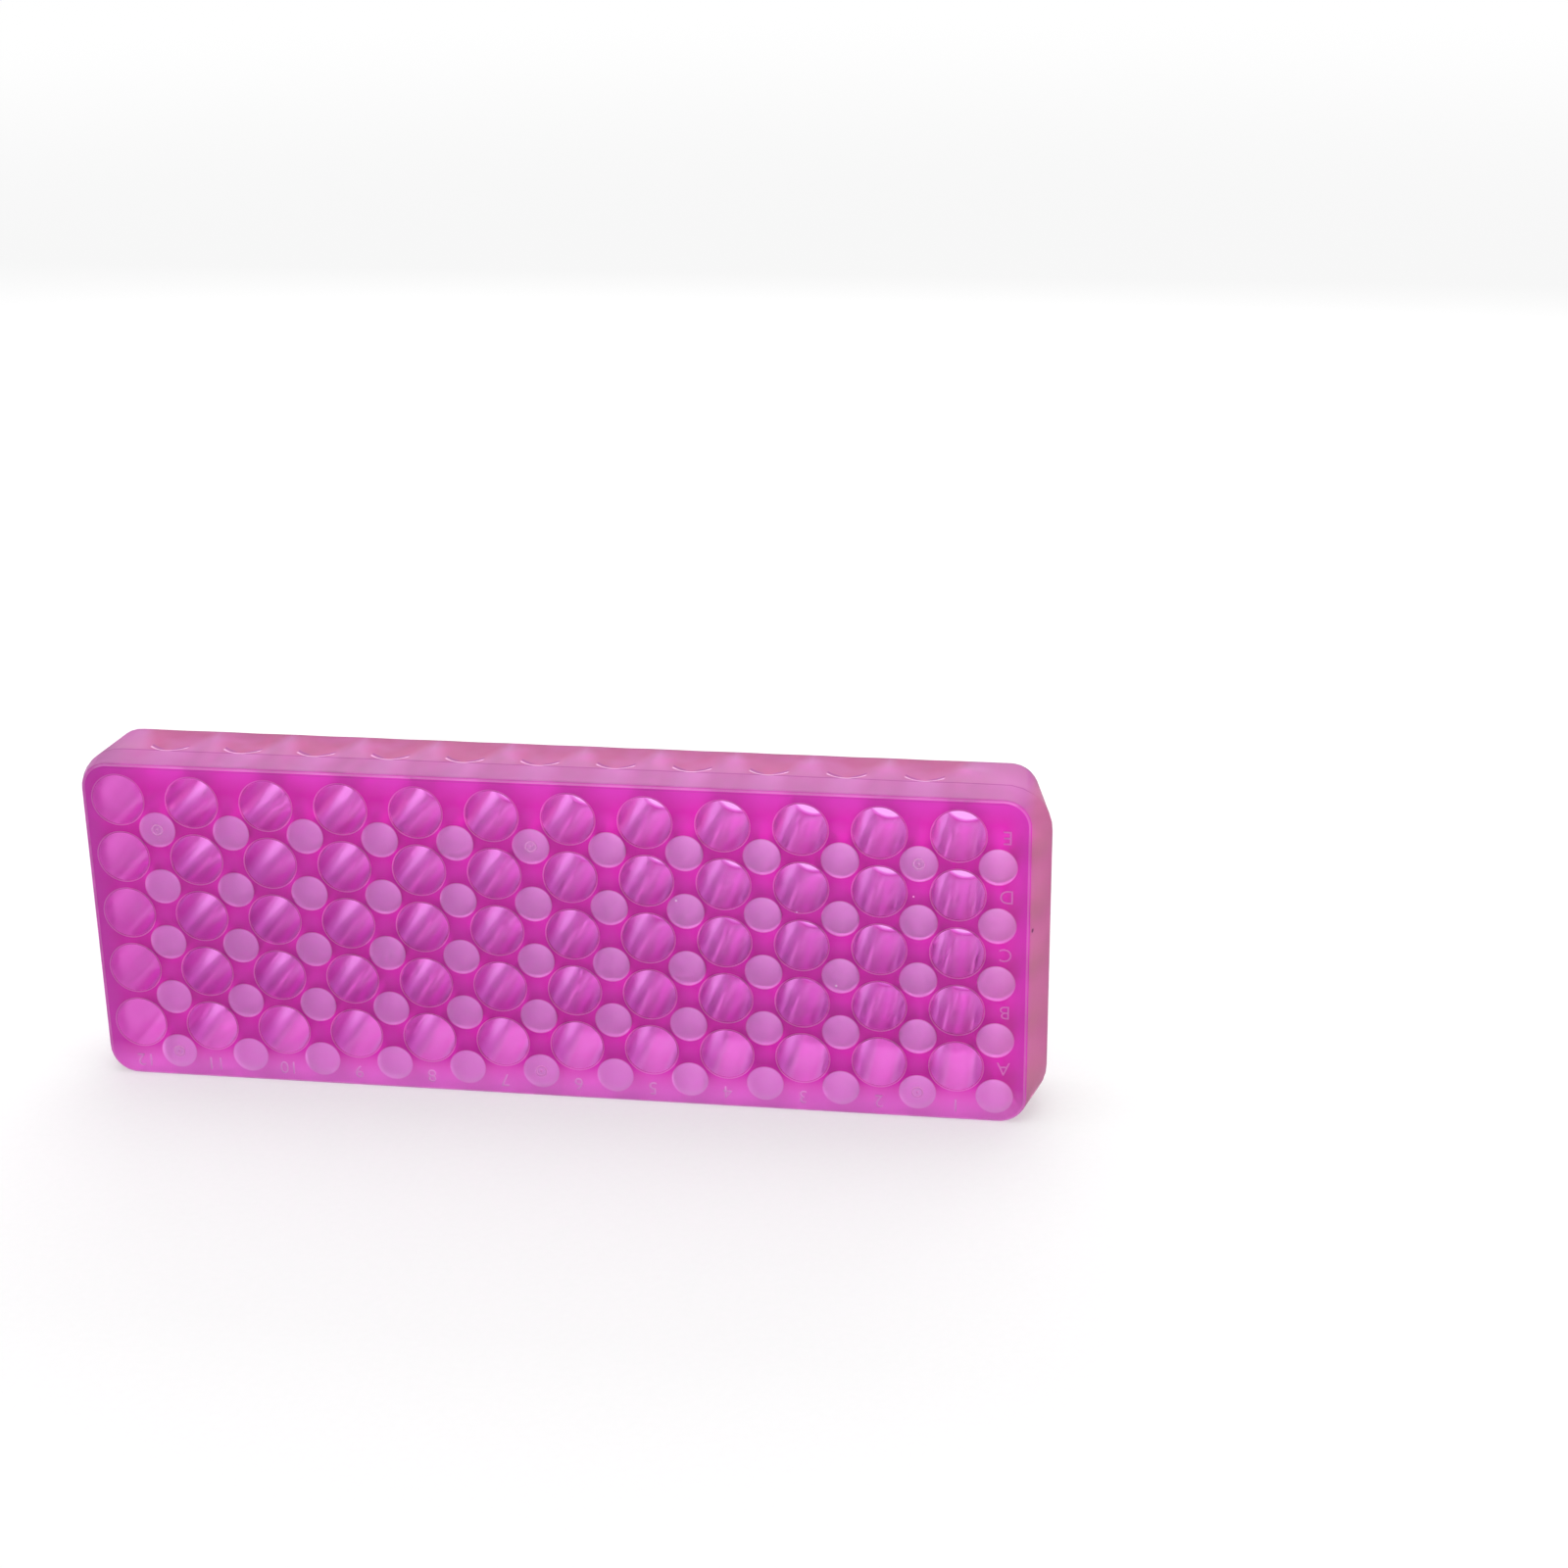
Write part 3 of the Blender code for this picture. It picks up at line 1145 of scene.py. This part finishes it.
@dataclass(frozen=True)
class OuterPlastic(Polypropylene):
    """The finer haze of the faces and the outer walls, with all that marks them and the highlights
    and shade painted on them.
    """

    name: str = "magenta_outer_surface"
    sinks: SinkMarks = field(default_factory=SinkMarks)
    bead_glint: float = 0.20
    patch_share: float = 0.35
    core_share: float = 0.55
    core_radius: float = 3.0 * MM
    border_width: float = 6.2 * MM
    lit_foot_height: float = 9.0 * MM
    rim_highlight_share: float = 0.2
    band_share: float = 0.8
    line_share: float = 0.85
    line_wave: float = 0.8 * MM
    line_widths: tuple[float, float] = (0.12 * MM, 0.36 * MM)
    bead_widths: tuple[float, float] = (0.22 * MM, 0.62 * MM)
    arc_widths: tuple[float, float] = (0.30 * MM, 0.80 * MM)
    arc_gap: float = 1.15 * MM
    band_widths: tuple[float, float] = (1.0 * MM, 6.0 * MM)
    valley_width: float = 3.1 * MM
    valley_growth: float = 0.42
    ridge_widths: tuple[float, float] = (3.0 * MM, -2.0 * MM)
    end_share: float = 0.85
    nick_glint_radii: tuple[float, float] = (0.12 * MM, 0.26 * MM)
    dirt_radii: tuple[float, float] = (0.30 * MM, 0.70 * MM)
    dirt: tuple[Place, ...] = ((0.1091, -0.0107, 0.0476),)
    nick_glints: tuple[Place, ...] = (
        (0.0827, -0.012, 0.0550),
        (0.0874, -0.012, 0.0677),
        (0.1077, -0.0117, 0.0408),
        (0.0291, -0.012, 0.0513),
        (0.0565, -0.012, 0.0499),
        (0.0653, -0.012, 0.0322),
    )

    def rim_distance(self, at: Spot) -> Socket:
        """Gives how far a point lies inside the rounded outline of the faces.

        Args:
            at: The point that is measured.

        Returns:
            The distance's socket, at most the corner radius and below 0 outside.
        """
        graph = at.graph
        middle, radius = self.sizes.height / 2, self.sizes.corner_radius
        across = graph.math("ABSOLUTE", at.x)
        up = graph.math("ABSOLUTE", graph.less(at.z, middle))
        past_x = graph.less(across, self.sizes.length / 2 - radius)
        past_z = graph.less(up, middle - radius)
        past = graph.node("CombineXYZ", {"X": past_x, "Z": past_z}).outputs[0]
        outside = graph.vector("MAXIMUM", past, (0, 0, 0)).outputs[0]
        return graph.less(radius, graph.vector("LENGTH", outside).outputs["Value"])

    def face_colour(self, at: Spot, rim: Socket) -> Socket:
        """Colours the flat faces, deepest between the wells, paler at borders, with painted light
        on the lower strip.

        Args:
            at: The point that is coloured.
            rim: Its distance inside the outline.

        Returns:
            The colour's socket.
        """
        graph, tints = at.graph, self.tints
        core = self.grid(at, 0.5, 0.0)
        patch = graph.times(graph.fade(at.cloud, 0.70, 0.35), self.patch_share)
        spot = graph.times(graph.fade(core, 0.4 * MM, self.core_radius), self.core_share)
        colour = graph.mix(patch, tints.thick, tints.core)
        for share, tint in (
            (graph.fade(at.y, 2 * MM, -2 * MM), tints.back),
            (spot, tints.core),
            (graph.fade(rim, 0.8 * MM, self.border_width), tints.border),
            # painted light from the floor below, on the lower strip of the faces
            (graph.fade(at.z, 1 * MM, self.lit_foot_height), tints.lit_foot),
        ):
            colour = graph.mix(share, colour, tint)
        return colour

    def sink_places(self, at: Spot) -> SinkPlaces:
        """Measures where a point of the upper wall lies among the sink marks.

        Args:
            at: The point that is coloured.

        Returns:
            Its distances and masks.
        """
        graph, sizes, sinks = at.graph, self.sizes, self.sinks
        behind = graph.less(at.y, sizes.parting_depth - sizes.depth / 2)
        steps = graph.math("DIVIDE", graph.less(at.x, sizes.axis(0.5, 0).x), sizes.column_pitch)
        column = graph.math("FLOOR", graph.math("ADD", steps, 0.5))
        column = graph.math("MINIMUM", graph.math("MAXIMUM", column, 0), sinks.count - 1)
        away = graph.math("ABSOLUTE", graph.less(steps, column))
        away = graph.times(away, sizes.column_pitch)
        upper = graph.fade(at.z, sizes.height - 0.9 * MM, sizes.height - 1.5 * MM)
        side = graph.math("DIVIDE", away, sinks.half_width)
        bow = graph.math("POWER", side, 2.0)
        past = graph.less(behind, graph.math("MULTIPLY_ADD", bow, sinks.lip_bow, sinks.lip_gap))
        inside = graph.times(graph.fade(side, 0.90, 1.02), upper)
        bead = graph.near(past, *self.bead_widths)
        shade = graph.near(past, *self.arc_widths, middle=self.arc_gap)
        shade = graph.times(shade, graph.fade(side, 0.5, 0.0))
        return SinkPlaces(
            behind, away, upper, graph.times(bead, inside), graph.times(shade, inside)
        )

    def upper_colour(self, at: Spot, marks: SinkPlaces) -> Socket:
        """Colours the long walls, with the hills and valleys of the sink marks.

        Args:
            at: The point that is coloured.
            marks: Where it lies among the sink marks.

        Returns:
            The colour's socket.
        """
        graph, tints = at.graph, self.tints
        band = graph.times(graph.fade(marks.away, *self.band_widths), marks.upper)
        walls = graph.mix(graph.times(band, self.band_share), tints.wall, tints.band)
        valley = graph.math("MULTIPLY_ADD", marks.behind, self.valley_growth, self.valley_width)
        ridge = graph.fade(graph.less(marks.away, valley), *self.ridge_widths)
        rear = graph.times(graph.fade(marks.behind, 0.9 * MM, 0.1 * MM), marks.upper)
        walls = graph.mix(rear, walls, graph.mix(ridge, tints.valley, tints.hill))
        patch = graph.times(graph.fade(at.cloud, 0.65, 0.40), 0.3)
        return graph.mix(patch, walls, tints.band)

    def wall_colour(self, at: Spot, rim: Socket, colour: Socket) -> Socket:
        """Colours the outer walls, with painted shade and highlights at the parting line, sink
        marks and front edge, painted shade on the right end and painted light at the lowest band.

        Args:
            at: The point that is coloured.
            rim: Its distance inside the outline of the faces.
            colour: Colour of the rest.

        Returns:
            The colour's socket.
        """
        graph, sizes, tints = at.graph, self.sizes, self.tints
        marks = self.sink_places(at)
        # painted shade along the parting line, a thin dark line
        wave = graph.math("MULTIPLY_ADD", at.cloud, self.line_wave, -self.line_wave / 2)
        line = graph.near(graph.math("ADD", marks.behind, wave), *self.line_widths)
        walls = self.upper_colour(at, marks)
        walls = graph.mix(graph.times(line, self.line_share), walls, tints.shade_line)
        # painted shade in the arcs behind the ends of the sink lips
        walls = graph.mix(marks.shade, walls, tints.shade_line)
        # painted highlight on the raised lips of the sink marks
        walls = graph.mix(marks.bead, walls, tints.highlight_line)
        # the right end gets painted shade with a tinge of the light from behind; the left end a
        # paler lilac
        for sign, tint in ((1.0, tints.end), (-1.0, tints.left_end)):
            out = graph.times(at.x, sign)
            end = graph.fade(out, sizes.length / 2 + 1.0 * MM, sizes.length / 2 - 2.5 * MM)
            walls = graph.mix(graph.times(end, self.end_share), walls, tint)
        # painted light on the lowest band of the walls, next to the floor
        walls = graph.mix(graph.fade(at.z, 0.3 * MM, 0.9 * MM), walls, tints.lit_sole)
        outer = graph.fade(rim, 0.95 * MM, 1.1 * MM)
        half = sizes.depth / 2
        off_face = graph.fade(graph.math("ABSOLUTE", at.y), half - 0.45 * MM, half - 0.25 * MM)
        colour = graph.mix(graph.times(outer, off_face), colour, walls)
        # painted shade and highlight along the front edge: a dark line on the upper wall, a light
        # line all round
        edge_depth = -sizes.parting_depth
        front = graph.fade(marks.behind, 0.5 * MM + edge_depth, 0.7 * MM + edge_depth)
        light = graph.math("MULTIPLY_ADD", marks.upper, 0.3, 0.25)
        for place, half_width, share, tint in (
            (1.00 * MM, 0.22 * MM, graph.times(marks.upper, 0.5), tints.shade_line),
            (0.45 * MM, 0.30 * MM, light, tints.highlight_line),
        ):
            edge = graph.near(rim, half_width / 3, half_width, middle=place)
            colour = graph.mix(graph.times(graph.times(edge, front), share), colour, tint)
        return colour

    def disc_colour(self, at: Spot, colour: Socket) -> Socket:
        """Lightens both faces where a well of the other face ends, and paints a highlight round
        every mouth.

        Args:
            at: The point that is coloured.
            colour: Colour of the rest.

        Returns:
            The colour's socket.
        """
        graph = at.graph
        sizes = self.sizes
        large, small = self.grid(at, 0.0, 0.0), self.grid(at, 0.5, 0.5)
        front = graph.fade(at.y, -1.0 * MM, 1.0 * MM)
        back = graph.less(1.0, front)
        disc = graph.math(
            "ADD",
            graph.times(graph.fade(small, *self.disc_edge(sizes.small_floor)), front),
            graph.times(graph.fade(large, *self.disc_edge(sizes.large_floor)), back),
        )
        rim = graph.math(
            "ADD",
            graph.times(self.mouth_highlight_ring(graph, large, sizes.large_mouth), front),
            graph.times(self.mouth_highlight_ring(graph, small, sizes.small_mouth), back),
        )
        colour = graph.mix(disc, colour, self.tints.disc)
        return graph.mix(graph.times(rim, self.rim_highlight_share), colour, self.tints.rim)

    def disc_edge(self, floor_radius: float) -> tuple[float, float]:
        """Gives where the disc over a well's floor starts to fade and where it ends."""
        return floor_radius - 0.15 * MM, floor_radius + 0.25 * MM

    def mouth_highlight_ring(self, graph: Graph, distance: Socket, mouth: float) -> Socket:
        """Masks the thin ring of painted highlight round the rounded mouths of wells with that
        radius.
        """
        return graph.near(distance, 0.08 * MM, 0.22 * MM, middle=mouth + 0.28 * MM)

    def spots(
        self,
        at: Spot,
        places: Iterable[Place],
        radii: tuple[float, float],
        tint: Tint,
        rest: object,
    ) -> Socket:
        """Paints small round spots.

        Args:
            at: The point that is coloured.
            places: Middles of the spots.
            radii: Radius up to which a spot is full, and past which it is gone.
            tint: Colour of the spots.
            rest: Colour of the rest.

        Returns:
            The colour's socket.
        """
        for place in places:
            away = at.graph.vector("DISTANCE", at.place, place).outputs["Value"]
            rest = at.graph.mix(at.graph.fade(away, *radii), rest, tint)
        return rest

    def glint(self, at: Spot) -> Socket:
        """Masks the painted glints, which glow on nicks on the face and on the lips of the sink
        marks.
        """
        tint = self.tints.glint
        nick_glints = self.spots(at, self.nick_glints, self.nick_glint_radii, tint, DARK)
        lips = at.graph.times(self.sink_places(at).bead, self.bead_glint)
        return at.graph.mix(lips, nick_glints, tint)

    def colour(self, at: Spot) -> Socket:
        """Colours the faces and the outer walls."""
        rim = self.rim_distance(at)
        colour = self.disc_colour(at, self.face_colour(at, rim))
        colour = self.wall_colour(at, rim, colour)
        return self.spots(at, self.dirt, self.dirt_radii, self.tints.dirt, colour)


@dataclass
class Studio:
    """The plain pale floor, the soft lamps, the white background and the camera."""

    floor_half: float = 8.0
    floor_tone: float = 0.56
    fibre_depth: float = 0.03
    near: float = 0.5
    far: float = 2.6
    floor_shine: float = 0.41
    floor_shine_far: float = 0.14
    floor_shine_through: float = 0.75
    world_strength: float = 0.8
    grain: bpy.types.NodeTree = field(default_factory=lambda: grain_group())
    camera_place: Place = (0.136837, -0.568144, 0.297923)
    camera_turn: tuple[float, float, float] = (68.8618, 0.67, 8.2145)
    lens: float = 62.9651

    def floor(self) -> None:
        """Lays the floor under the rack."""
        shape = bmesh.new()
        bmesh.ops.create_grid(shape, x_segments=1, y_segments=1, size=self.floor_half)
        mesh = bpy.data.meshes.new("floor")
        shape.to_mesh(mesh)
        shape.free()
        floor = bpy.data.objects.new("floor", mesh)
        floor.location.z = -0.05 * MM
        bpy.context.scene.collection.objects.link(floor)
        material = bpy.data.materials.new("floor_paper")
        material.use_nodes = True
        shader = material.node_tree.nodes["Principled BSDF"]
        graph = Graph(material.node_tree)
        place = graph.node("TexCoord").outputs["Object"]
        grain = graph.node("Group", {"Position": place, "Scale": 0.4}, node_tree=self.grain)
        fibre = graph.math(
            "MULTIPLY_ADD", grain.outputs["Grain"], self.fibre_depth, -self.fibre_depth / 2
        )
        tone = graph.math("ADD", self.floor_tone, fibre)
        graph.tree.links.new(tone, shader.inputs["Base Color"])
        shader.inputs["Roughness"].default_value = 0.9
        shader.inputs["Specular IOR Level"].default_value = 0.0
        shader.inputs["Emission Color"].default_value = (1, 1, 1, 1)
        rays = graph.node("LightPath").outputs
        through = graph.math("MAXIMUM", rays["Is Glossy Ray"], rays["Is Transmission Ray"])
        away = graph.vector("LENGTH", place).outputs["Value"]
        far = graph.times(graph.fade(away, self.far, self.near), self.floor_shine_far)
        direct = graph.times(rays["Is Camera Ray"], graph.math("ADD", far, self.floor_shine))
        shine = graph.math("MULTIPLY_ADD", through, self.floor_shine_through, direct)
        graph.tree.links.new(shine, shader.inputs["Emission Strength"])
        mesh.materials.append(material)

    def lamp(
        self,
        name: str,
        place: Sequence[float],
        aim: Sequence[float],
        size: tuple[float, float],
        power: float,
    ) -> None:
        """Adds a rectangular soft lamp.

        Args:
            name: Name of the lamp.
            place: Where it stands.
            aim: The point it looks at.
            size: Its width and height.
            power: Its power in watts.
        """
        light = bpy.data.lights.new(name, "AREA")
        light.shape = "RECTANGLE"
        light.size, light.size_y = size
        light.energy = power
        lamp = bpy.data.objects.new(name, light)
        lamp.location = place
        lamp.rotation_euler = (Vector(aim) - Vector(place)).to_track_quat("-Z", "Y").to_euler()
        bpy.context.scene.collection.objects.link(lamp)

    def world(self) -> None:
        """Makes the even white surroundings."""
        world = bpy.data.worlds.new("white_surroundings")
        bpy.context.scene.world = world
        world.use_nodes = True
        background = world.node_tree.nodes["Background"]
        background.inputs["Color"].default_value = (1, 1, 1, 1)
        graph = Graph(world.node_tree)
        more = graph.times(self.seen(graph), 1.0 - self.world_strength)
        strength = graph.math("ADD", more, self.world_strength)
        graph.tree.links.new(strength, background.inputs["Strength"])

    def seen(self, graph: Graph) -> Socket:
        """Gives 1 for what the camera sees, also in a mirror or through glass, and 0 for light."""
        rays = graph.node("LightPath").outputs
        mirrored = graph.math("MAXIMUM", rays["Is Glossy Ray"], rays["Is Transmission Ray"])
        return graph.math("MAXIMUM", rays["Is Camera Ray"], mirrored)

    def camera(self) -> None:
        """Sets the camera where the photograph was taken from."""
        data = bpy.data.cameras.new("camera")
        data.sensor_width = 36.0
        data.sensor_fit = "HORIZONTAL"
        data.lens = self.lens
        data.clip_start = 0.01
        data.clip_end = 100.0
        camera = bpy.data.objects.new("camera", data)
        camera.location = self.camera_place
        camera.rotation_euler = [math.radians(angle) for angle in self.camera_turn]
        bpy.context.scene.collection.objects.link(camera)
        bpy.context.scene.camera = camera

    def build(self) -> None:
        """Sets up the floor, the lamps, the world and the camera."""
        self.camera()
        self.floor()
        self.world()
        self.lamp("overhead_softbox", (-0.1, 0.1, 1.1), (0, 0, 0), (1.0, 0.7), 3.5)
        self.lamp("rear_softbox", (0.0, 0.75, 0.45), (0, 0, 0.02), (1.0, 0.35), 3.0)
        bpy.context.scene.view_settings.view_transform = "Standard"


def main() -> None:
    """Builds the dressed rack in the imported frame."""
    logging.basicConfig(level=logging.INFO, format="%(name)s: %(message)s")
    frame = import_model()
    LOG.info("nodes of the frame: %s", ", ".join(sorted(frame["nodes"])))
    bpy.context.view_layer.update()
    grain, wells = grain_group(), well_grid_group()
    outer = OuterPlastic(RackSizes(), grain, wells).material()
    inner = WellPlastic(RackSizes(), grain, wells).material()
    raised = MarkPlastic(RackSizes(), grain, wells).material()
    faint = MarkPlastic(RackSizes(), grain, wells, "magenta_faint_marks", highlight_share=0.1).material()
    body = RackBody().build()
    body.data.materials.append(outer)
    body.data.materials.append(inner)
    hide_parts(NODE)
    marks = MouldMarks().build()
    for mark in marks:
        mark.data.materials.append(faint if mark.name == "row_letters" else raised)
    for piece in (body, *marks):
        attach(piece, "root")
        LOG.info("%s: %d faces", piece.name, len(piece.data.polygons))
    Studio(grain=grain).build()


if __name__ == "__main__":
    main()
